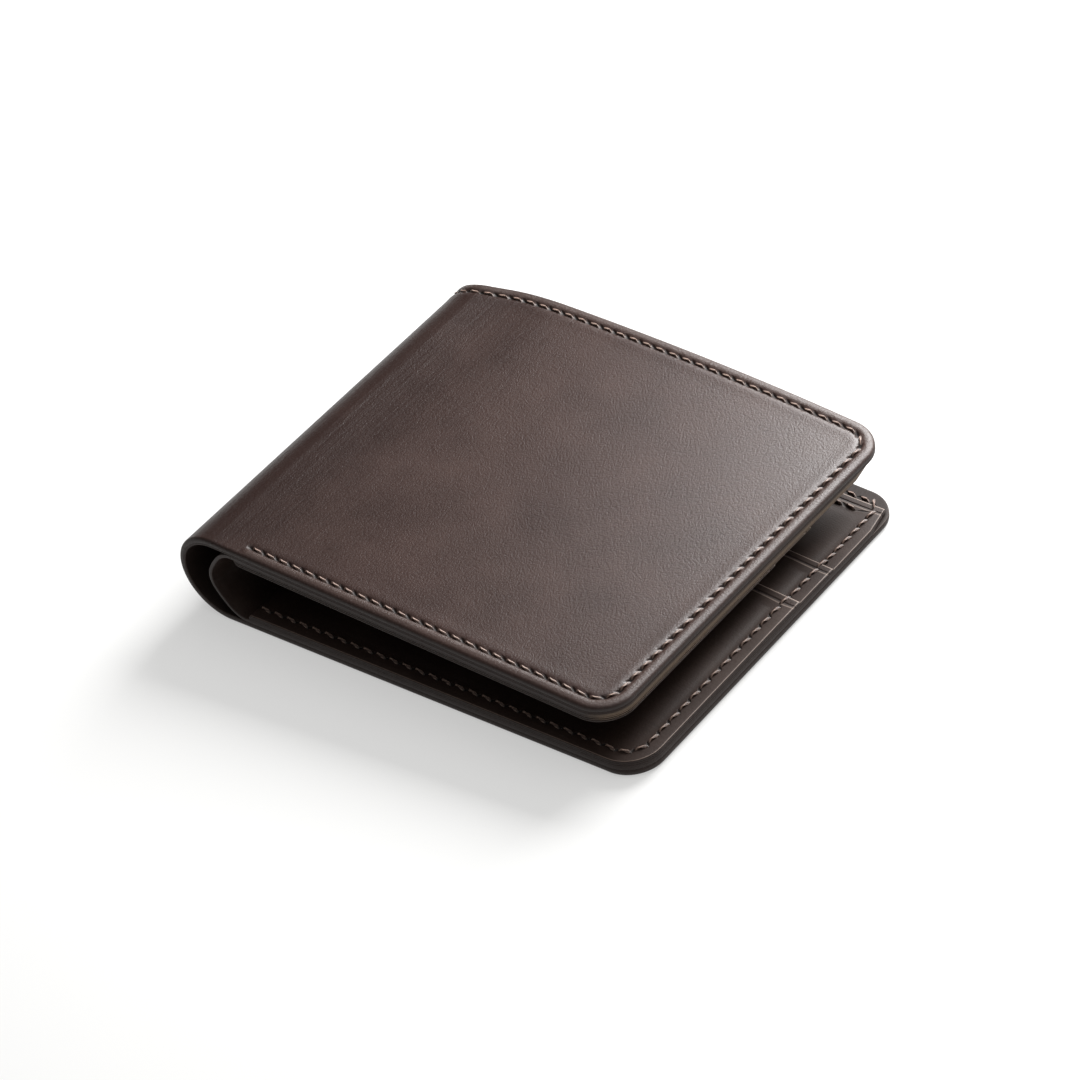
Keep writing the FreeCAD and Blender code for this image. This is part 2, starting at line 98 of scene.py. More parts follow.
# Sizes of the maker's work.
CORNER = 7.5 * MM
SEAM_INSET = 2.8 * MM
PITCH = 3.3 * MM
SEAM_RADIUS = CORNER - SEAM_INSET
NEAR_SEAM_START = {"lower": 6.0 * MM, "upper": 8.3 * MM}
PANEL_SEAM = PANEL_EDGE - 3.0 * MM
POCKET_SEAM = POCKET_START + 2.0 * MM
LAST_NEAR_STITCH = 1.26 * MM     # before the near corner's curve
FIRST_SIDE_STITCH = 0.93 * MM    # after the near corner's curve
FIRST_MOUTH_STITCH = -0.23 * MM  # after the far corner's curve
NEAR_CORNER_STITCHES = 3
FAR_CORNER_STITCHES = 2
SPINE_STITCHES = 10
CHANNEL = {"lower": 0.42 * MM, "upper": 0.20 * MM}       # the outer seam is drawn into the leather
OUTER_THREAD = {"lower": 0.54 * MM, "upper": 0.26 * MM}  # depth of the line that its stitches follow
OUTER_LIFT = {"lower": 0.22 * MM, "upper": 0.30 * MM}    # and how far their middles rise from it
INNER_LIFT = 0.28 * MM
SPINE_CHANNEL = 0.20 * MM
SPINE_THREAD = 0.36 * MM
SPINE_LIFT = 0.30 * MM
STITCH = {"Length": 2.95 * MM, "Thickness": 0.64 * MM, "Slant": math.radians(-13),
          "Twist": math.radians(300)}
FOLD_SETBACK = 4.8 * MM
FOLD_WAIST = 7.5 * MM
FOLD_SHOULDER_DIP = 0.7 * MM     # the divider's fold is a little narrower above and below its middle
FOLD_LEATHER = DIVIDER - LINING
LAST_SLAT_CLEAR = math.radians(0.4)  # the divider's last slat isn't joined to the upper half
LEATHER_EDGE = (0.7 * MM, 0.06 * MM)    # rounding of the rim on the outer and the inner face
LINING_EDGE = (0.06 * MM, 0.14 * MM)
LEATHER_STEP = PITCH / 6
SHEET_STEP = PITCH / 3
STACK_ROUNDING = 1.3 * MM
BOW = 1.1 * MM                   # the upper half bows up towards the bill mouth
DROOP = 1.6 * MM                 # and its free corner droops
SPINE_EASE = 2.6 * MM            # the top of the spine's roll is cut back at the bill mouth
LOWER_EASE = 4.4 * MM            # the lower half's free corner is cut back at the bill mouth
EASE_START = 8.0 * MM            # both cuts grow from this y to the mouth
FULLNESS = 2.3 * MM              # the card pockets stand up between their seams
FULLNESS_MARGIN = 1.5 * MM

# Lines of a sheet's mesh, as distances in from its edge: closest together at the seam.
EDGE_LINES = [line * MM for line in (6.2, 5.2, 4.5, 3.9, 3.5, 3.15, 2.8, 2.45, 2.1, 1.7, 1.2, 0.8, 0.55)]
SEAM_BORDER = 2.1                # a row's slits and dents reach this many millimetres from it


def smooth(value):
    value = np.clip(value, 0, 1)
    return value * value * (3 - 2 * value)


def hump(value, width):
    return np.exp(-(value / width) ** 2)


# ---------------------------------------------------------------- places on the wallet

def eased(unrolled_place, y):
    """Bring the bill mouth in where its cut edge isn't straight."""
    roll_top = SPINE_RADIUS * SPINE_TURN - 4 * MM
    corner_start, corner_reach = 45 * MM, 57 * MM
    ease = SPINE_EASE * hump(unrolled_place - roll_top, 9 * MM)
    ease = ease + LOWER_EASE * smooth((-unrolled_place - corner_start) / corner_reach)
    return y - ease * smooth((y - EASE_START) / (MOUTH - EASE_START))


def lower_place(along, y, depth):
    return np.stack([SPINE_X + along, eased(-along, y), depth + 0 * along], axis=-1)


def upper_bow(along, y):
    """How far the upper half's leather stands off its flat shape."""
    share = along / LENGTH["upper"]
    lift = BOW * 4 * share * (1 - share) * smooth(along / (18 * MM)) - DROOP * share ** 3
    return lift * np.clip((y - NEAR) / (MOUTH - NEAR), 0, 1) ** 1.5


def upper_place(along, y, depth):
    out = depth - upper_bow(along, y)
    x = UPPER_X + along * math.cos(WEDGE) - out * math.sin(WEDGE)
    z = UPPER_Z - along * math.sin(WEDGE) - out * math.cos(WEDGE)
    return np.stack([x, eased(SPINE_RADIUS * SPINE_TURN + along, y), z], axis=-1)


HALF_PLACE = {"lower": lower_place, "upper": upper_place}


def pocket_swell(side, along, y):
    """How far the card pockets stand up from the divider between their seams."""
    opening_seam = LENGTH[side] - SEAM_INSET - FULLNESS_MARGIN
    near_seam = NEAR + SEAM_INSET + FULLNESS_MARGIN
    across = np.clip((along - POCKET_SEAM) / (opening_seam - POCKET_SEAM), 0, 1)
    up = np.clip((y - near_seam) / (PANEL_SEAM - FULLNESS_MARGIN - near_seam), 0, 1)
    return FULLNESS * (4 * across * (1 - across)) ** 0.5 * (4 * up * (1 - up)) ** 0.7


def spine_place(angle, y, depth):
    """A point of the shell's spine: angle 0 is where the lower half starts."""
    radius = SPINE_RADIUS - depth
    return np.stack([SPINE_X - radius * np.sin(angle), eased(SPINE_RADIUS * angle, y),
                     SPINE_RADIUS - radius * np.cos(angle)], axis=-1)


def fold_place(angle, y, depth):
    """A point of the divider's own fold; depth is measured in from the fold's outer side."""
    centre_x = SPINE_X + FOLD_SETBACK * math.cos(WEDGE / 2)
    centre_z = SPINE_RADIUS - FOLD_SETBACK * math.sin(WEDGE / 2)
    shoulder = centre_z - LINING - FOLD_WAIST
    turned = math.pi * angle / SPINE_TURN
    radius = FOLD_WAIST + shoulder * np.cos(turned) ** 2 - FOLD_SHOULDER_DIP * np.sin(2 * turned) ** 2 - depth
    return np.stack([centre_x - radius * np.sin(angle), eased(SPINE_RADIUS * angle, y),
                     centre_z - radius * np.cos(angle)], axis=-1)


FOLD_START = FOLD_SETBACK * math.cos(WEDGE / 2)


def unrolled(side, along):
    """Distance along the leather as it was cut, before folding: the lower half is negative."""
    return -along if side == "lower" else SPINE_RADIUS * SPINE_TURN + along


# ---------------------------------------------------------------- the saddle-stitched edge seam

class EdgeSeam:
    """The row of stitches round a half: near edge, opening edge, bill mouth.

    A count says where a point is along the row.  Each whole count is a needle hole, and each stitch lies
    between two of them.  Count 0 is the first hole after the near edge's last stitch.
    """

    def __init__(self, side):
        self.side = side
        self.length = LENGTH[side]
        self.centre_x = self.length - CORNER
        curve = SEAM_RADIUS * math.pi / 2
        near_end = self.centre_x
        side_start = near_end + curve
        side_end = side_start + MOUTH - NEAR - 2 * CORNER
        mouth_start = side_end + curve
        self.bends = (near_end, side_start, side_end, mouth_start)
        last_near = near_end - LAST_NEAR_STITCH
        first_side = side_start + FIRST_SIDE_STITCH
        side_count = int((side_end - first_side) / PITCH)
        last_side = first_side + side_count * PITCH
        first_mouth = mouth_start + FIRST_MOUTH_STITCH
        end = mouth_start + self.centre_x
        near_count = round((last_near - NEAR_SEAM_START[side]) / PITCH - 0.5)
        mouth_count = round((end - first_mouth) / PITCH - 0.5)
        self.distances = [last_near - (near_count + 0.5) * PITCH, last_near, first_side, last_side,
                          first_mouth, end]
        before_side = NEAR_CORNER_STITCHES - 0.5
        after_side = before_side + side_count
        before_mouth = after_side + FAR_CORNER_STITCHES
        self.counts = [-1.0 - near_count, -0.5, before_side, after_side, before_mouth,
                       before_mouth + 0.5 + mouth_count]

    def where(self, along, y):
        """Distance along the seam and distance in from the edge, for points of a half."""
        near_end, side_start, side_end, mouth_start = self.bends
        beyond = along > self.centre_x
        low = y < NEAR + CORNER
        high = y > MOUTH - CORNER
        reach = along - self.centre_x
        near_turn = np.arctan2(np.maximum(reach, 0), np.maximum(NEAR + CORNER - y, 1e-9))
        far_turn = np.arctan2(np.maximum(y - MOUTH + CORNER, 0), np.maximum(reach, 1e-9))
        distance = np.where(y < (NEAR + MOUTH) / 2, along, mouth_start + self.centre_x - along)
        distance = np.where(beyond, side_start + y - NEAR - CORNER, distance)
        distance = np.where(beyond & low, near_end + SEAM_RADIUS * near_turn, distance)
        distance = np.where(beyond & high, side_end + SEAM_RADIUS * far_turn, distance)
        inset = np.where(y < (NEAR + MOUTH) / 2, y - NEAR, MOUTH - y)
        inset = np.where(beyond, self.length - along, inset)
        inset = np.where(beyond & low, CORNER - np.hypot(reach, NEAR + CORNER - y), inset)
        inset = np.where(beyond & high, CORNER - np.hypot(reach, y - MOUTH + CORNER), inset)
        return distance, inset

    def marks(self, along, y):
        """Stitch count, offset across the seam in millimetres, and how strongly it is sewn."""
        distance, inset = self.where(along, y)
        count = np.interp(distance, self.distances, self.counts)
        sewn = smooth((distance - self.distances[0] + 1.0 * MM) / (1.2 * MM))
        return np.stack([count, (inset - SEAM_INSET) / MM, sewn], axis=-1)

    def stitches(self):
        """Middle and heading of each stitch, as (along, y, step along, step y)."""
        near_end, side_start, side_end, mouth_start = self.bends
        counts = np.arange(self.counts[0] + 0.5, self.counts[-1], 1.0)
        rows = []
        for distance in np.interp(counts, self.counts, self.distances):
            if distance < near_end:
                rows.append((distance, NEAR + SEAM_INSET, 1.0, 0.0))
            elif distance < side_start:
                turn = (distance - near_end) / SEAM_RADIUS
                x = self.centre_x + SEAM_RADIUS * math.sin(turn)
                y = NEAR + CORNER - SEAM_RADIUS * math.cos(turn)
                rows.append((x, y, math.cos(turn), math.sin(turn)))
            elif distance < side_end:
                rows.append((self.length - SEAM_INSET, NEAR + CORNER + distance - side_start, 0.0, 1.0))
            elif distance < mouth_start:
                turn = (distance - side_end) / SEAM_RADIUS
                x = self.centre_x + SEAM_RADIUS * math.cos(turn)
                y = MOUTH - CORNER + SEAM_RADIUS * math.sin(turn)
                rows.append((x, y, -math.sin(turn), math.cos(turn)))
            else:
                rows.append((self.centre_x - (distance - mouth_start), MOUTH - SEAM_INSET, -1.0, 0.0))
        return rows


EDGE_SEAM = {side: EdgeSeam(side) for side in HALF_PLACE}


def straight_marks(distance, offset):
    """Marks of a straight row: distance along it and offset across it, in metres."""
    return np.stack([distance / PITCH, offset / MM, 1.0 + 0 * distance], axis=-1)


# ---------------------------------------------------------------- leather sheets

def save_mesh(name, points, faces, sheet, seam, trim):
    """A closed, smooth mesh with the three attributes that the finishes read."""
    mesh = bpy.data.meshes.new(name)
    mesh.from_pydata([tuple(point) for point in points], [], faces)
    for label, values in (("sheet", sheet), ("seam", seam), ("trim", trim)):
        attribute = mesh.attributes.new(label, "FLOAT_VECTOR", "POINT")
        attribute.data.foreach_set("vector", np.asarray(values, np.float32).ravel())
    shell = bmesh.new()
    shell.from_mesh(mesh)
    bmesh.ops.recalc_face_normals(shell, faces=shell.faces)
    shell.to_mesh(mesh)
    shell.free()
    mesh.polygons.foreach_set("use_smooth", [True] * len(mesh.polygons))
    mesh.set_sharp_from_angle(angle=math.radians(50))
    piece = bpy.data.objects.new(name, mesh)
    bpy.context.scene.collection.objects.link(piece)
    return piece


def rim_profile(outer, inner, outer_round, inner_round):
    """Distance in from the edge, depth and edge mask, from the outer face round the rim to the inner."""
    quarter = np.radians([0, 22.5, 45, 67.5, 90])
    lines = [line for line in EDGE_LINES if line > outer_round * 1.05]
    profile = [(line, outer, 0.0) for line in lines]
    profile += [(outer_round * (1 - math.sin(a)), outer + outer_round * (1 - math.cos(a)), math.sin(a))
                for a in quarter]
    middle = (outer + outer_round + inner - inner_round) / 2
    profile.append((0.0, middle, 1.0))
    profile += [(inner_round * (1 - math.cos(a)), inner - inner_round * (1 - math.sin(a)), math.cos(a))
                for a in quarter]
    profile += [(line, inner, 0.0) for line in reversed(lines)]
    return np.array(profile)


def rim_stations(length, far, step, along_grid, up_grid):
    """Points round a sheet's three free edges: place on the rim, way in, and the grid corner inside."""
    centre_x = length - CORNER
    last_i, last_j = len(along_grid) - 1, len(up_grid) - 1
    turns = max(4, round(CORNER * math.pi / 2 / step))
    stations = [((a, NEAR), (0, 1), (i, 0)) for i, a in enumerate(along_grid)]

    def round_corner(centre_y, first_turn, inside):
        for k in range(1, turns):
            turn = first_turn + math.pi / 2 * k / turns
            out = (math.cos(turn), math.sin(turn))
            rim = (centre_x + CORNER * out[0], centre_y + CORNER * out[1])
            stations.append((rim, (-out[0], -out[1]), inside))

    round_corner(NEAR + CORNER, -math.pi / 2, (last_i, 0))
    stations += [((length, y), (-1, 0), (last_i, j)) for j, y in enumerate(up_grid)]
    if far == MOUTH:
        round_corner(far - CORNER, 0.0, (last_i, last_j))
    else:
        stations.append(((length, far), (-1, -1), (last_i, last_j)))
    stations += [((a, far), (0, -1), (i, last_j)) for i, a in reversed(list(enumerate(along_grid)))]
    return stations


def sheet_faces(stations, rows, last_i, last_j):
    """Faces of a closed flat sheet: the strip round its rim, its two grids and its cut end."""
    grid_points = (last_i + 1) * (last_j + 1)
    first_outer = len(stations) * rows

    def outer_at(i, j):
        return first_outer + i * (last_j + 1) + j

    def inner_at(i, j):
        return outer_at(i, j) + grid_points

    faces = []
    for i in range(last_i):
        for j in range(last_j):
            faces.append((outer_at(i, j), outer_at(i + 1, j), outer_at(i + 1, j + 1), outer_at(i, j + 1)))
            faces.append((inner_at(i, j), inner_at(i, j + 1), inner_at(i + 1, j + 1), inner_at(i + 1, j)))
    for s in range(len(stations) - 1):
        here, there = stations[s][2], stations[s + 1][2]
        a, b = s * rows, (s + 1) * rows
        for k in range(rows - 1):
            faces.append((a + k, a + k + 1, b + k + 1, b + k))
        for at, k in ((outer_at, 0), (inner_at, rows - 1)):
            face = (at(*here), a + k, b + k, at(*there))
            faces.append(face if here != there else face[:3])
    for j in range(last_j):
        faces.append((outer_at(0, j), outer_at(0, j + 1), inner_at(0, j + 1), inner_at(0, j)))
    for s in (0, len(stations) - 1):
        inside = stations[s][2]
        a, b = s * rows, s * rows + rows - 1
        faces.append((outer_at(*inside), a, b, inner_at(*inside)))
        while b - a > 2:
            faces.append((a, a + 1, b - 1, b))
            a, b = a + 1, b - 1
        if b - a == 2:
            faces.append((a, a + 1, b))
    return faces


def flat_sheet(name, side, start, far, outer, inner, rounding, step, marks, relief=None, stacked=False):
    """One flat sheet of a half, from `start` along to the opening edge and from the near edge to `far`."""
    length = LENGTH[side]
    centre_x = length - CORNER
    steps_along = max(2, round((centre_x - start) / step))
    steps_up = max(2, round((far - NEAR - 2 * CORNER) / step))
    along_grid = np.linspace(start, centre_x, steps_along + 1)
    along_grid = np.insert(along_grid, 1, start + 0.05 * MM)
    if stacked:
        ramp = start + STACK_ROUNDING * np.array([0.06, 0.15, 0.3, 0.5, 0.75])
        along_grid = np.unique(np.concatenate([along_grid, ramp]))
    up_grid = np.linspace(NEAR + CORNER, far - CORNER, steps_up + 1)
    stations = rim_stations(length, far, step, along_grid, up_grid)

    profile = rim_profile(outer, inner, *rounding)
    rims = np.array([station[0] for station in stations], float)
    inwards = np.array([station[1] for station in stations], float)
    strip = rims[:, None, :] + profile[None, :, :1] * inwards[:, None, :]
    strip_depth = np.broadcast_to(profile[:, 1], strip.shape[:2])
    strip_edge = np.broadcast_to(profile[:, 2], strip.shape[:2])
    grid = np.stack(np.meshgrid(along_grid, up_grid, indexing="ij"), axis=-1).reshape(-1, 2)
    flat = np.concatenate([strip.reshape(-1, 2), grid, grid])
    depth = np.concatenate([strip_depth.ravel(), np.full(len(grid), outer), np.full(len(grid), inner)])
    edge = np.concatenate([strip_edge.ravel(), np.zeros(2 * len(grid))])
    along, y = flat[:, 0], flat[:, 1]
    if far < MOUTH:
        # The pocket leather is trimmed to stay inside the shell's round corner.
        into_corner = np.clip(y - MOUTH + CORNER, 0, CORNER)
        narrowing = np.sqrt(1 - (into_corner / CORNER) ** 2) - 0.09 * smooth(into_corner / (2 * MM))
        along = np.where(along > centre_x, centre_x + (along - centre_x) * narrowing, along)
    sewn = marks(along, y)
    if relief is not None:
        share = (depth - outer) / (inner - outer)
        depth = depth + (1 - share) * relief(sewn)
        if side == "lower":
            depth = np.maximum(depth, 0)
    if stacked:
        rise = np.clip((along - start) / STACK_ROUNDING, 0, 1)
        depth = DIVIDER + (depth - DIVIDER) * np.maximum(np.sqrt(1 - (1 - rise) ** 2), 0.04)
        depth = depth + pocket_swell(side, along, y)
    points = HALF_PLACE[side](along, y, depth)
    faces = sheet_faces(stations, len(profile), len(along_grid) - 1, len(up_grid) - 1)
    sheet = np.stack([unrolled(side, along) / MM, y / MM, depth / MM], axis=-1)
    trim = np.stack([edge, (far - y) / MM, (length - along) / MM], axis=-1)
    return save_mesh(name, points, faces, sheet, sewn, trim)


def bent_sheet(name, place, angles, far, outer, inner, rounding, marks, relief=None):
    """One closed strip of leather round a fold, between two angles."""
    first, last = angles
    guard = math.radians(0.08)    # the cut ends stay crisp
    turns = np.concatenate([[first], np.linspace(first + guard, last - guard, 29), [last]])
    profile = rim_profile(outer, inner, *rounding)
    middle = np.linspace(NEAR + 8 * MM, far - 8 * MM, 24)
    section = [(NEAR + inset, depth, mask) for inset, depth, mask in profile]
    section += [(y, inner, 0.0) for y in middle]
    section += [(far - inset, depth, mask) for inset, depth, mask in profile[::-1]]
    section += [(y, outer, 0.0) for y in middle[::-1]]
    section = np.array(section)
    count = len(section)
    angle = np.repeat(turns, count)
    y, depth, edge = (np.tile(section[:, k], len(turns)) for k in range(3))
    sewn = marks(angle, y)
    if relief is not None:
        share = (depth - outer) / (inner - outer)
        depth = depth + (1 - share) * relief(sewn)
    points = place(angle, y, depth)
    faces = []
    for t in range(len(turns) - 1):
        for k in range(count):
            following = (k + 1) % count
            faces.append((t * count + k, t * count + following,
                          (t + 1) * count + following, (t + 1) * count + k))
    half = len(profile) // 2
    far_middle = len(profile) + len(middle) + half
    inner_side = list(range(half, far_middle + 1))
    outer_side = list(range(half, -1, -1)) + list(range(count - 1, far_middle - 1, -1))
    for at in (0, (len(turns) - 1) * count):
        for k in range(len(inner_side) - 1):
            corners = (outer_side[k], outer_side[k + 1], inner_side[k + 1], inner_side[k])
            faces.append(tuple(at + corner for corner in dict.fromkeys(corners)))
    sheet = np.stack([SPINE_RADIUS * angle / MM, y / MM, depth / MM], axis=-1)
    trim = np.stack([edge, (far - y) / MM, 50.0 + 0 * y], axis=-1)
    return save_mesh(name, points, faces, sheet, sewn, trim)


def sewn_relief(depth_of_channel):
    """Relief of sewn leather: a channel with a dent at each hole, and a puffed border outside it."""
    def relief(sewn):
        count, offset, strength = sewn[:, 0], sewn[:, 1], sewn[:, 2]
        to_hole = np.abs(count - np.round(count)) * PITCH / MM
        channel = depth_of_channel * hump(offset, 0.55)
        dent = 0.26 * MM * hump(offset, 0.5) * hump(to_hole, 0.6)
        puff = 0.14 * MM * hump(offset + 1.35, 0.75) + 0.07 * MM * hump(offset - 1.6, 1.0)
        return strength * (channel + dent - puff)
    return relief


def spine_marks(angle, y):
    count = angle / SPINE_TURN * SPINE_STITCHES
    return np.stack([count, (MOUTH - SEAM_INSET - y) / MM, 1.0 + 0 * angle], axis=-1)


def no_marks(along, y):
    """Leather with no seam anywhere near."""
    return np.stack([0 * along, 50.0 + 0 * along, 0 * along], axis=-1)


def close_to_row(marks):
    """The same marks, sewn only close to their own row."""
    count, offset, sewn = marks[:, 0], marks[:, 1], marks[:, 2]
    return np.stack([count, offset, sewn * smooth((SEAM_BORDER - np.abs(offset)) / 0.8)], axis=-1)


def pocket_marks(side, top_row):
    """Marks on the card pockets: the edge seam, the row at the spine side and the panel's top row."""
    def marks(along, y):
        found = close_to_row(EDGE_SEAM[side].marks(along, y))
        by_spine = (along < POCKET_SEAM + 2.5 * MM) & (y > NEAR + 2 * SEAM_INSET)
        side_row = straight_marks(y - NEAR - 2 * SEAM_INSET, along - POCKET_SEAM)
        found = np.where(by_spine[:, None], side_row, found)
        if top_row:
            by_top = (y > PANEL_SEAM - 2.5 * MM) & (along < LENGTH[side] - 2 * SEAM_INSET)
            found = np.where(by_top[:, None], straight_marks(along - POCKET_SEAM, PANEL_SEAM - y), found)
        return close_to_row(found)
    return marks


# ---------------------------------------------------------------- stitches

def stitch_rows(stitches, place, depth_at, outward):
    """Point, heading and outward direction of each stitch of a row, with the depth found from its y."""
    step = 0.1 * MM
    rows = []
    for along, y, step_along, step_y in stitches:
        depth = depth_at(y)
        here = place(np.array(along), np.array(y), depth)
        ahead = place(np.array(along + step_along * step), np.array(y + step_y * step), depth)
        inward = place(np.array(along), np.array(y), depth + step) - here
        rows.append((here, ahead - here, -inward if outward else inward))
    return rows


def straight_row(first, last):
    """Stitches at even steps along a straight row."""
    first, last = np.array(first), np.array(last)
    length = np.hypot(*(last - first))
    heading = (last - first) / length
    return [(*(first + heading * PITCH * (k + 0.5)), *heading) for k in range(int(length / PITCH))]


def inner_face(y):
    """Depth of the inner face under a stitch: the highest layer that the stitch touches."""
    reach = PITCH * 0.4
    if y - reach < BOTTOM_LIP:
        return STACK
    if y - reach < UPPER_LIP:
        return SLOT
    if y - reach < PANEL_EDGE:
        return PANEL
    return LINING


class Tree:
    """A Geometry Nodes tree with named inputs."""

    def __init__(self, name, sizes):
        self.tree = bpy.data.node_groups.new(name, "GeometryNodeTree")
        interface = self.tree.interface
        interface.new_socket("Geometry", in_out="INPUT", socket_type="NodeSocketGeometry")
        for label in sizes:
            interface.new_socket(label, in_out="INPUT", socket_type="NodeSocketFloat")
        interface.new_socket("Thread", in_out="INPUT", socket_type="NodeSocketMaterial")
        interface.new_socket("Geometry", in_out="OUTPUT", socket_type="NodeSocketGeometry")
        self.given = self.tree.nodes.new("NodeGroupInput").outputs

    def node(self, kind, values, settings=None, output=0):
        """Add a node; each value is a number, a vector or another node's socket."""
        made = self.tree.nodes.new(kind)
        for key, value in (settings or {}).items():
            setattr(made, key, value)
        for key, value in values.items():
            if isinstance(value, bpy.types.NodeSocket):
                self.tree.links.new(value, made.inputs[key])
            else:
                made.inputs[key].default_value = value
        return made.outputs[output]

    def maths(self, operation, *values):
        return self.node("ShaderNodeMath", dict(enumerate(values)), {"operation": operation})

    def vector(self, **axes):
        return self.node("ShaderNodeCombineXYZ", axes)

    def share(self):
        """How far along its curve a point is, from 0 to 1."""
        return self.node("GeometryNodeSplineParameter", {}, output="Factor")

    def keep(self, geometry, name, value):
        """Store a number on the points, for the thread's finish."""
        values = {"Geometry": geometry, "Name": name, "Value": value}
        return self.node("GeometryNodeStoreNamedAttribute", values, {"data_type": "FLOAT", "domain": "POINT"})

    def kept_vector(self, name):
        return self.node("GeometryNodeInputNamedAttribute", {"Name": name}, {"data_type": "FLOAT_VECTOR"})

    def finish_with(self, geometry):
        self.tree.links.new(geometry, self.tree.nodes.new("NodeGroupOutput").inputs[0])


def stitch_tree():
    """Twisted waxed thread on every point, arched so that its ends go down into their holes."""
    t = Tree("saddle_stitch", ("Length", "Thickness", "Lift", "Slant", "Twist"))
    half = t.maths("MULTIPLY", t.given["Length"], 0.5)
    start, end = t.vector(X=t.maths("MULTIPLY", half, -1.0)), t.vector(X=half)
    line = t.node("GeometryNodeCurvePrimitiveLine", {"Start": start, "End": end})
    line = t.node("GeometryNodeResampleCurve", {"Curve": line, "Count": 10})

    share = t.share()
    swing = t.maths("SUBTRACT", t.maths("MULTIPLY", share, 2.0), 1.0)
    fall = t.maths("POWER", t.maths("ABSOLUTE", swing), 3.0)
    height = t.maths("SUBTRACT", 1.0, t.maths("MULTIPLY", fall, 2.2))
    arch = t.vector(Z=t.maths("MULTIPLY", t.given["Lift"], height))
    line = t.node("GeometryNodeSetPosition", {"Geometry": line, "Offset": arch})
    tilt = t.maths("MULTIPLY", share, t.given["Twist"])
    line = t.node("GeometryNodeSetCurveTilt", {"Curve": line, "Tilt": tilt})
    line = t.keep(line, "thread_along", share)
    taper = t.maths("SUBTRACT", 1.0, t.maths("MULTIPLY", fall, 0.3))
    line = t.node("GeometryNodeSetCurveRadius", {"Curve": line, "Radius": taper})

    radius = t.maths("MULTIPLY", t.given["Thickness"], 0.5)
    ply = t.node("GeometryNodeCurvePrimitiveCircle", {"Resolution": 8, "Radius": radius}, {"mode": "RADIUS"})
    ply = t.node("GeometryNodeTransform", {"Geometry": ply, "Scale": (1.0, 0.7, 1.0)})
    ply = t.keep(ply, "thread_round", t.share())
    thread = t.node("GeometryNodeCurveToMesh", {"Curve": line, "Profile Curve": ply, "Fill Caps": True})
    thread = t.node("GeometryNodeTransform", {"Geometry": thread, "Rotation": t.vector(Z=t.given["Slant"])})

    turned = t.node("FunctionNodeAxesToRotation",
                    {"Primary Axis": t.kept_vector("up"), "Secondary Axis": t.kept_vector("heading")},
                    {"primary_axis": "Z", "secondary_axis": "X"})
    rows = t.node("GeometryNodeInstanceOnPoints",
                  {"Points": t.given["Geometry"], "Instance": thread, "Rotation": turned})
    rows = t.node("GeometryNodeRealizeInstances", {"Geometry": rows})
    t.finish_with(t.node("GeometryNodeSetMaterial", {"Geometry": rows, "Material": t.given["Thread"]}))
    return t.tree


STITCH_TREE = stitch_tree()


def sew(name, rows, thread, lift):
    """Turn rows of stitch points into one mesh of threads."""
    points = bpy.data.meshes.new(name + "_points")
    points.from_pydata([tuple(row[0]) for row in rows], [], [])
    for label, k in (("heading", 1), ("up", 2)):
        attribute = points.attributes.new(label, "FLOAT_VECTOR", "POINT")
        attribute.data.foreach_set("vector", np.array([row[k] for row in rows], np.float32).ravel())
    carrier = bpy.data.objects.new(name + "_points", points)
    bpy.context.scene.collection.objects.link(carrier)
    modifier = carrier.modifiers.new("stitches", "NODES")
    modifier.node_group = STITCH_TREE
    chosen = {**STITCH, "Lift": lift, "Thread": thread}
    for item in STITCH_TREE.interface.items_tree:
        if item.in_out == "INPUT" and item.name in chosen:
            modifier[item.identifier] = chosen[item.name]
    bpy.context.view_layer.update()
    evaluated = carrier.evaluated_get(bpy.context.evaluated_depsgraph_get())
    mesh = bpy.data.meshes.new_from_object(evaluated)
    bpy.data.objects.remove(carrier)
    mesh.polygons.foreach_set("use_smooth", [True] * len(mesh.polygons))
    mesh.set_sharp_from_angle(angle=math.radians(60))
    threads = bpy.data.objects.new(name, mesh)
    bpy.context.scene.collection.objects.link(threads)
    return threads


# ---------------------------------------------------------------- finishes

class Value:
    """A shader socket that can be used in sums."""

    def __init__(self, finish, socket):
        self.finish = finish
        self.socket = socket

    def maths(self, operation, *others):
        """A Math node of this value, then the others."""
        return self.finish.node("ShaderNodeMath", {"operation": operation}, dict(enumerate((self, *others))))

    def __add__(self, other):
        return self.maths("ADD", other)

    def __sub__(self, other):
        return self.maths("SUBTRACT", other)

    def __rsub__(self, other):
        return self.finish.node("ShaderNodeMath", {"operation": "SUBTRACT"}, {0: other, 1: self})

    def __mul__(self, other):
        return self.maths("MULTIPLY", other)

    def __abs__(self):
        return self.maths("ABSOLUTE")

    __radd__ = __add__
    __rmul__ = __mul__

    def between(self, low, high):
        """0 below low, 1 above high, smooth in between."""
        return self.finish.node("ShaderNodeMapRange", {"interpolation_type": "SMOOTHSTEP"},
                                {"Value": self, "From Min": low, "From Max": high})

    def bell(self, width):
        """1 where the value is 0, falling off smoothly over the width."""
        return 1 - abs(self).between(0.0, width)


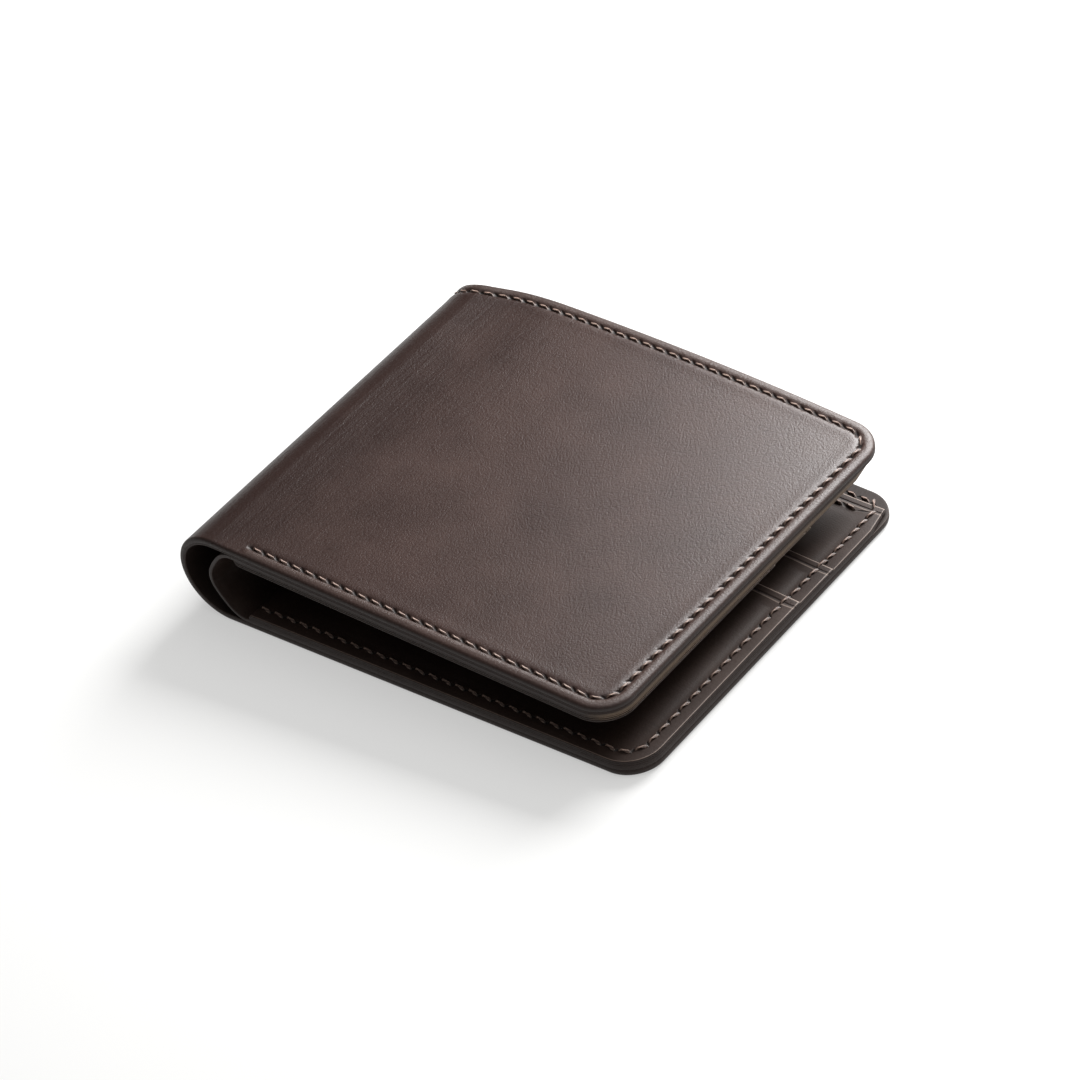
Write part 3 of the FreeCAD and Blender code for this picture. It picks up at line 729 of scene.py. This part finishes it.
class Finish:
    """A material built around one Principled shader."""

    def __init__(self, name, **constants):
        self.material = bpy.data.materials.new(name)
        self.material.use_nodes = True
        self.tree = self.material.node_tree
        self.shader = self.tree.nodes["Principled BSDF"]
        for label, value in constants.items():
            self.shader.inputs[label.replace("_", " ")].default_value = value

    def node(self, kind, settings, values, output=0):
        """Add any node: settings first, then the values or links of its sockets."""
        made = self.tree.nodes.new(kind)
        for key, value in settings.items():
            if key == "stops":
                for extra in value[2:]:
                    made.color_ramp.elements.new(extra[0])
                for element, (place, colour) in zip(made.color_ramp.elements, value):
                    element.position = place
                    element.color = (*colour, 1.0)
            else:
                setattr(made, key, value)
        for key, value in values.items():
            if isinstance(value, Value):
                self.tree.links.new(value.socket, made.inputs[key])
            else:
                made.inputs[key].default_value = value
        return Value(self, made.outputs[output])

    def attribute(self, label):
        return self.node("ShaderNodeAttribute", {"attribute_name": label}, {}, "Vector")

    def parts(self, vector):
        return [self.node("ShaderNodeSeparateXYZ", {}, {0: vector}, k) for k in range(3)]

    def scaled(self, vector, factors):
        return self.node("ShaderNodeVectorMath", {"operation": "MULTIPLY"}, {0: vector, 1: factors})

    def noise(self, vector, scale, detail=3.0, roughness=0.5):
        return self.node("ShaderNodeTexNoise", {}, {"Vector": vector, "Scale": scale, "Detail": detail,
                                                    "Roughness": roughness})

    def cells(self, vector, scale, feature="F1"):
        return self.node("ShaderNodeTexVoronoi", {"feature": feature}, {"Vector": vector, "Scale": scale})

    def blend(self, share, first, second):
        """Mix two colours."""
        return self.node("ShaderNodeMix", {"data_type": "RGBA"}, {0: share, 6: first, 7: second}, 2)

    def tint(self, share, stops):
        return self.node("ShaderNodeValToRGB", {"stops": stops}, {0: share})

    def raise_by(self, height, distance, strength=1.0, under=None):
        """Bump of a height in metres, on top of another bump."""
        values = {"Height": height, "Distance": distance, "Strength": strength}
        if under is not None:
            values["Normal"] = under
        return self.node("ShaderNodeBump", {}, values)

    def feed(self, **links):
        for label, value in links.items():
            self.tree.links.new(value.socket, self.shader.inputs[label.replace("_", " ")])


def edge_paint(finish, ground):
    """Cut edges: burnished dark, with the lighter bare middle of the upper half's opening edge, and a painted
    highlight along the arris of the inner sheets' rims.
    """
    along, _, depth = finish.parts(finish.attribute("sheet"))
    edge, _, from_opening = finish.parts(finish.attribute("trim"))
    bare = depth.between(1.3, 2.2) * (1 - depth.between(2.7, 3.5))
    bare = bare * along.between(33.0, 40.0) * (1 - from_opening.between(1.5, 7.0))
    mottle = finish.noise(finish.attribute("sheet"), 1.4)
    painted, unpainted = (0.017, 0.0085, 0.006, 1), (0.105, 0.068, 0.040, 1)
    paint = finish.blend(bare * (0.55 + 0.6 * mottle), painted, unpainted)
    # painted highlight: a light line along the rounded arris between a rim and its inner face
    painted_arris_highlight = (edge - 0.3).bell(0.3) * depth.between(1.3, 1.9)
    ground = finish.blend(painted_arris_highlight * 0.8, ground, (0.22, 0.16, 0.13, 1))
    return finish.blend(edge.between(0.55, 1.0), ground, paint)


def needle_slits(count, offset, sewn, slant, width, length):
    """Slanted slits where the thread goes through, one at every whole count; the finishes darken them as
    painted shade inside the holes.
    """
    nearest = (count - count.maths("ROUND")) * (PITCH / MM)
    across = (nearest + slant * offset).bell(width)
    return across * offset.bell(length) * sewn


def outer_leather():
    """Full-grain leather: pebbled, creased along the spine, rubbed lighter on its raised parts, with painted
    shade on the spine's bend, in the stitch channel and in the needle holes.
    """
    finish = Finish("outer_leather", Specular_IOR_Level=0.37)
    sheet = finish.attribute("sheet")
    along = finish.parts(sheet)[0]
    count, offset, sewn = finish.parts(finish.attribute("seam"))
    edge = finish.parts(finish.attribute("trim"))[0]
    drift = finish.node("ShaderNodeTexNoise", {}, {"Vector": sheet, "Scale": 0.9, "Detail": 2.0}, 1)
    drift = finish.node("ShaderNodeVectorMath", {"operation": "SCALE"}, {0: drift, "Scale": 0.55})
    warped = finish.node("ShaderNodeVectorMath", {"operation": "ADD"}, {0: sheet, 1: drift})
    pebble = finish.cells(finish.scaled(warped, (1.4, 1.0, 1.0)), 2.3, "SMOOTH_F1")
    small_pebble = finish.cells(finish.scaled(warped, (1.3, 1.0, 1.0)), 5.4, "F1")
    pores = finish.noise(sheet, 7.0, 3.0, 0.6)
    streaks = finish.noise(finish.scaled(warped, (2.6, 0.10, 0.4)), 1.0, 4.0, 0.62)
    long_creases = finish.noise(finish.scaled(warped, (0.85, 0.035, 0.1)), 1.0, 2.0, 0.5)
    clouds = finish.noise(sheet, 0.055, 4.0, 0.55)
    bent = (1 - along.between(18.0, 72.0)) * along.between(-40.0, 8.0)
    outer_border = (offset + 1.3).bell(1.5) * sewn
    border_streaks = finish.noise(finish.scaled(sheet, (1.1, 1.1, 0.5)), 2.2, 4.0, 0.7)
    slits = needle_slits(count, offset, sewn, 0.9, 0.7, 0.8)
    channel = offset.bell(0.75) * sewn

    # the colour is painted darker over the spine's bend (bent * 0.38) as shade; bent also lays the spine's
    # creases and streaks
    tone = clouds * 0.6 + pores * 0.3 + (streaks - 0.5) * bent * 0.25 - pebble * 0.3 - bent * 0.38 + 0.13
    ground = finish.tint(tone, [(0.15, (0.014, 0.0044, 0.0026)), (0.50, (0.029, 0.0122, 0.0086)),
                                (0.85, (0.053, 0.0250, 0.0180))])
    # painted shade: the stitch channel is darkened round the thread
    ground = finish.blend(channel * 0.35, ground, (0.008, 0.0042, 0.003, 1))
    rubbed = finish.blend(outer_border * (0.15 + 0.5 * border_streaks), ground, (0.062, 0.041, 0.034, 1))
    # painted shade inside the needle holes
    ground = finish.blend(slits * 0.93, rubbed, (0.0035, 0.0025, 0.002, 1))
    colour = edge_paint(finish, ground)
    roughness = 0.37 + pores * 0.16 - pebble * 0.08 + edge * 0.16 + slits * 0.3 + (clouds - 0.5) * 0.12

    height = finish.raise_by(1 - pebble, 0.085 * MM, 0.5)
    height = finish.raise_by(1 - small_pebble, 0.03 * MM, 0.5, height)
    height = finish.raise_by(pores, 0.03 * MM, 0.5, height)
    height = finish.raise_by(streaks * bent, 0.07 * MM, 0.5, height)
    height = finish.raise_by(long_creases * bent, 0.3 * MM, 0.4, height)
    height = finish.raise_by(border_streaks * outer_border, 0.12 * MM, 0.6, height)
    height = finish.raise_by(1 - slits, 0.35 * MM, 0.8, height)
    finish.feed(Base_Color=colour, Roughness=roughness, Normal=height)
    return finish.material


def inner_leather():
    """Smooth-grained leather of the divider and pockets, with a pressed line below each lip, painted dark as
    shade, and painted highlights on each lip's edge and beside the line.
    """
    finish = Finish("inner_leather", Specular_IOR_Level=0.3)
    sheet = finish.attribute("sheet")
    count, offset, sewn = finish.parts(finish.attribute("seam"))
    from_far = finish.parts(finish.attribute("trim"))[1]
    grain = finish.cells(finish.scaled(sheet, (1.2, 1.0, 1.0)), 3.2, "SMOOTH_F1")
    pores = finish.noise(sheet, 8.0, 3.0, 0.6)
    brushed = finish.noise(finish.scaled(sheet, (0.22, 2.4, 0.4)), 1.0, 4.0, 0.6)
    clouds = finish.noise(sheet, 0.09, 3.0, 0.5)
    pressed = (from_far - 1.75).bell(0.42)
    slits = needle_slits(count, offset, sewn, -0.9, 0.6, 0.75)
    tone = clouds * 0.6 + pores * 0.3 + brushed * 0.35
    ground = finish.tint(tone, [(0.25, (0.012, 0.0062, 0.0044)), (0.6, (0.025, 0.0140, 0.0104)),
                                (0.9, (0.042, 0.0265, 0.0205))])
    # painted highlights: a light line on each lip's edge and a fainter one beside the pressed crease
    painted_lip_highlights = (from_far - 0.15).bell(0.3) + 0.6 * (from_far - 2.25).bell(0.22)
    # painted shade: the pressed crease below each lip is darkened
    ground = finish.blend(pressed * 0.5, ground, (0.005, 0.003, 0.0025, 1))
    ground = finish.blend(painted_lip_highlights * 0.85, ground, (0.30, 0.235, 0.20, 1))
    # painted shade inside the needle holes
    ground = finish.blend(slits * 0.95, ground, (0.003, 0.002, 0.0015, 1))
    colour = edge_paint(finish, ground)
    roughness = 0.44 + pores * 0.15 + brushed * 0.10 + slits * 0.3
    height = finish.raise_by(1 - grain, 0.045 * MM, 0.5)
    height = finish.raise_by(pores, 0.025 * MM, 0.5, height)
    height = finish.raise_by(brushed, 0.05 * MM, 0.45, height)
    height = finish.raise_by(1 - pressed, 0.16 * MM, 0.9, height)
    height = finish.raise_by(1 - slits, 0.3 * MM, 0.8, height)
    finish.feed(Base_Color=colour, Roughness=roughness, Normal=height)
    return finish.material


def lining_leather():
    """Thin matt lining."""
    finish = Finish("lining_leather", Specular_IOR_Level=0.2)
    sheet = finish.attribute("sheet")
    count, offset, sewn = finish.parts(finish.attribute("seam"))
    nap = finish.noise(sheet, 3.0, 5.0, 0.65)
    weals = finish.noise(finish.scaled(sheet, (1.8, 0.15, 0.4)), 1.0, 3.0, 0.6)
    slits = needle_slits(count, offset, sewn, -0.9, 0.6, 0.75)
    ground = finish.tint(nap * 0.7 + weals * 0.4, [(0.3, (0.010, 0.0055, 0.0042)),
                                                   (0.8, (0.022, 0.0135, 0.0105))])
    # painted shade inside the needle holes
    ground = finish.blend(slits * 0.95, ground, (0.003, 0.002, 0.0015, 1))
    colour = edge_paint(finish, ground)
    height = finish.raise_by(nap, 0.05 * MM, 0.5)
    height = finish.raise_by(weals, 0.08 * MM, 0.4, height)
    height = finish.raise_by(1 - slits, 0.3 * MM, 0.8, height)
    finish.feed(Base_Color=colour, Roughness=0.52 + nap * 0.14, Normal=height)
    return finish.material


def waxed_thread():
    """Light brown twisted thread, with painted shade between its plies and at its ends, where it goes into
    its holes.
    """
    finish = Finish("waxed_thread", Specular_IOR_Level=0.55)
    along = finish.node("ShaderNodeAttribute", {"attribute_name": "thread_along"}, {}, "Fac")
    around = finish.node("ShaderNodeAttribute", {"attribute_name": "thread_round"}, {}, "Fac")
    spun = (around * 2 + along * 3.2) * (2 * math.pi)
    strand = spun.maths("SINE") * 0.5 + 0.5
    lie = finish.node("ShaderNodeCombineXYZ", {}, {0: along * 3, 1: around * 14, 2: along})
    fibres = finish.noise(lie, 3.0, 3.0)
    # painted shade: the thread darkens towards its ends, where it dips into its holes
    ends = abs(along - 0.5).between(0.26, 0.46)
    # the strand pattern darkens the grooves between the plies as painted shade
    tone = strand * 0.55 + fibres * 0.45
    colour = finish.tint(tone, [(0.2, (0.045, 0.024, 0.017)), (0.5, (0.125, 0.076, 0.058)),
                                (0.85, (0.30, 0.21, 0.17))])
    colour = finish.blend(ends, colour, (0.008, 0.0045, 0.0035, 1))
    height = finish.raise_by(strand, 0.09 * MM, 0.7)
    height = finish.raise_by(fibres, 0.04 * MM, 0.5, height)
    finish.feed(Base_Color=colour, Roughness=0.42 + fibres * 0.2, Normal=height)
    return finish.material


def pale_floor():
    finish = Finish("pale_floor", Specular_IOR_Level=0.1, Roughness=0.9, Emission_Color=(1.0, 0.998, 0.99, 1),
                    Emission_Strength=0.47)
    place = finish.node("ShaderNodeTexCoord", {}, {}, "Object")
    cloud = finish.noise(place, 3.0)
    finish.feed(Base_Color=finish.tint(cloud, [(0.3, (0.375, 0.375, 0.37)), (0.7, (0.39, 0.39, 0.385))]))
    return finish.material


# ---------------------------------------------------------------- the wallet

OUTER_LEATHER = outer_leather()
INNER_LEATHER = inner_leather()
LINING_LEATHER = lining_leather()
THREAD = waxed_thread()


def dress(piece, material, slot, *nodes):
    """Give a piece its finish and hide the frame nodes it stands for."""
    if not piece.data.materials:
        piece.data.materials.append(material)
    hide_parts(*nodes)


def make_half(side):
    """A half's six sheets, from the outer leather to the front pocket, and its stitches."""
    edge_marks = EDGE_SEAM[side].marks
    relief = sewn_relief(CHANNEL[side])
    top_marks, lip_marks = pocket_marks(side, True), pocket_marks(side, False)
    back_edge, pocket_edge = (0.06 * MM, 0.1 * MM), (0.05 * MM, 0.3 * MM)
    # Each sheet: name, start, far edge, outer and inner depth, rounding of the rim, mesh step, marks and
    # relief; then its finish, slot and node.
    sheets = [
        (("outer_leather", 0.0, MOUTH, 0.0, LEATHER, LEATHER_EDGE, LEATHER_STEP, edge_marks, relief),
         OUTER_LEATHER, "outer_leather", "shell_leather"),
        (("lining_leather", 0.0, MOUTH, LEATHER, LINING, LINING_EDGE, SHEET_STEP, edge_marks, None),
         LINING_LEATHER, "lining", "shell_lining"),
        (("divider_leather", FOLD_START, PANEL_EDGE, LINING, DIVIDER, back_edge, SHEET_STEP, no_marks, None),
         INNER_LEATHER, "inner_leather", "bill_divider"),
        (("card_backing", POCKET_START, PANEL_EDGE, DIVIDER, PANEL, pocket_edge, SHEET_STEP, top_marks, None),
         INNER_LEATHER, "inner_leather", "card_panel"),
        (("middle_pocket", POCKET_START, UPPER_LIP, PANEL, SLOT, pocket_edge, SHEET_STEP, lip_marks, None),
         INNER_LEATHER, "inner_leather", "card_slot_upper"),
        (("front_pocket", POCKET_START, BOTTOM_LIP, SLOT, STACK, pocket_edge, SHEET_STEP, lip_marks, None),
         INNER_LEATHER, "inner_leather", "card_slot_bottom"),
    ]
    for (name, start, *rest), material, slot, node in sheets:
        piece = flat_sheet("%s_%s" % (side, name), side, start, *rest, stacked=start == POCKET_START)
        dress(piece, material, slot, "%s_%s" % (side, node))
        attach(piece, side + "_half")

    place = HALF_PLACE[side]
    seam = EDGE_SEAM[side].stitches()
    outside = stitch_rows(seam, place, lambda y: OUTER_THREAD[side], True)
    threads = sew(side + "_outside_stitches", outside, THREAD, OUTER_LIFT[side])
    dress(threads, THREAD, "thread", side + "_perimeter_seam")
    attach(threads, side + "_half")

    last = LENGTH[side] - 2 * SEAM_INSET
    top_row = straight_row((POCKET_SEAM, PANEL_SEAM), (last, PANEL_SEAM))
    side_row = straight_row((POCKET_SEAM, NEAR + 2 * SEAM_INSET), (POCKET_SEAM, PANEL_SEAM - SEAM_INSET))
    inside = stitch_rows(seam + top_row + side_row[2:], place, inner_face, False)
    threads = sew(side + "_inside_stitches", inside, THREAD, INNER_LIFT)
    dress(threads, THREAD, "thread", *("%s_%s" % (side, node) for node in (
        "pocket_seam", "mouth_seam", "panel_top_seam", "pocket_side_seam")))
    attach(threads, side + "_half")


def make_spine():
    """The shell's spine: a strip of leather and one of lining, with their stitches, in one piece per hinge
    zone.
    """
    slats = {1: (1,), 2: (1, 2), 3: (2,)}
    middles = (np.arange(SPINE_STITCHES) + 0.5) * SPINE_TURN / SPINE_STITCHES
    first = 0.0
    for zone, turn in enumerate(SPINE_TURNS, start=1):
        last = first + turn
        inside = [angle for angle in middles if first <= angle < last]
        leather = bent_sheet("spine_outer_leather_%d" % zone, spine_place, (first, last), MOUTH,
                             0.0, LEATHER, LEATHER_EDGE, spine_marks, sewn_relief(SPINE_CHANNEL))
        lining = bent_sheet("spine_lining_leather_%d" % zone, spine_place, (first, last), MOUTH,
                            LEATHER, LINING, LINING_EDGE, spine_marks)
        row = [(angle, MOUTH - SEAM_INSET, 1 / SPINE_RADIUS, 0.0) for angle in inside]
        stitches = stitch_rows(row, spine_place, lambda y: SPINE_THREAD, True)
        stitches += stitch_rows(row, spine_place, lambda y: LINING, False)
        threads = sew("spine_stitches_%d" % zone, stitches, THREAD, SPINE_LIFT)
        start, end = (tuple(spine_place(np.array(angle), 0.0, LINING)) for angle in (first, last))
        for piece, material, slot, node in ((leather, OUTER_LEATHER, "outer_leather", "spine_leather_%d"),
                                            (lining, LINING_LEATHER, "lining", "spine_lining_%d"),
                                            (threads, THREAD, "thread", "spine_mouth_seam_%d")):
            dress(piece, material, slot, *(node % slat for slat in slats[zone]))
            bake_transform(piece)
        first = last


def make_divider_fold():
    """The divider's own fold, cut into five pieces along its turn."""
    turn = SPINE_TURN / 5
    for zone in range(1, 6):
        clear = LAST_SLAT_CLEAR if zone == 5 else 0.0
        angles = (turn * (zone - 1), turn * zone - clear)
        piece = bent_sheet("divider_fold_leather_%d" % zone, fold_place, angles, PANEL_EDGE, 0.0,
                           FOLD_LEATHER, (0.12 * MM, 0.12 * MM), no_marks)
        dress(piece, INNER_LEATHER, "inner_leather", "divider_fold_%d" % zone)
        start, end = (tuple(fold_place(np.array(angle), 0.0, FOLD_LEATHER * 1.2)) for angle in angles)
        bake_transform(piece)


make_half("lower")
make_half("upper")
make_spine()
make_divider_fold()


# ---------------------------------------------------------------- floor, light and camera

def make_floor():
    mesh = bpy.data.meshes.new("floor")
    reach = 3.0
    low = -0.2 * MM    # just below the stitches of the spine
    mesh.from_pydata([(-reach, -reach, low), (reach, -reach, low), (reach, reach, low), (-reach, reach, low)],
                     [], [(0, 1, 2, 3)])
    mesh.materials.append(pale_floor())
    floor = bpy.data.objects.new("floor", mesh)
    bpy.context.scene.collection.objects.link(floor)


def soft_light(name, place, target, width, height, power):
    lamp = bpy.data.lights.new(name, "AREA")
    lamp.shape = "RECTANGLE"
    lamp.size, lamp.size_y, lamp.energy = width, height, power
    light = bpy.data.objects.new(name, lamp)
    light.location = place
    light.rotation_mode = "QUATERNION"
    light.rotation_quaternion = (Vector(target) - Vector(place)).to_track_quat("-Z", "Y")
    bpy.context.scene.collection.objects.link(light)


def make_camera(target, azimuth, elevation, roll, distance, lens):
    azimuth, elevation = math.radians(azimuth), math.radians(elevation)
    back = Vector((math.sin(azimuth) * math.cos(elevation), -math.cos(azimuth) * math.cos(elevation),
                   math.sin(elevation)))
    lens_data = bpy.data.cameras.new("camera")
    lens_data.lens, lens_data.sensor_width = lens, 36.0
    camera = bpy.data.objects.new("camera", lens_data)
    camera.location = Vector(target) + back * distance
    camera.rotation_mode = "QUATERNION"
    camera.rotation_quaternion = Quaternion(back, -math.radians(roll)) @ (-back).to_track_quat("-Z", "Y")
    bpy.context.scene.collection.objects.link(camera)
    bpy.context.scene.camera = camera


make_floor()
world = bpy.data.worlds.new("studio")
world.use_nodes = True
world.node_tree.nodes["Background"].inputs["Color"].default_value = (1.0, 1.0, 0.995, 1)
world.node_tree.nodes["Background"].inputs["Strength"].default_value = 0.14
bpy.context.scene.world = world
bpy.context.scene.view_settings.view_transform = "Standard"
soft_light("overhead_softbox", (0.5, 0.35, 1.7), (0, 0, 0), 2.4, 2.4, 22)
soft_light("back_softbox", (0.03, 0.36, 0.26), (0.065, 0.04, 0.02), 0.3, 0.26, 6.0)
make_camera((0.0012, -0.0037, 0.0062), 45.83, 39.44, 12.85, 0.854, 144.8)
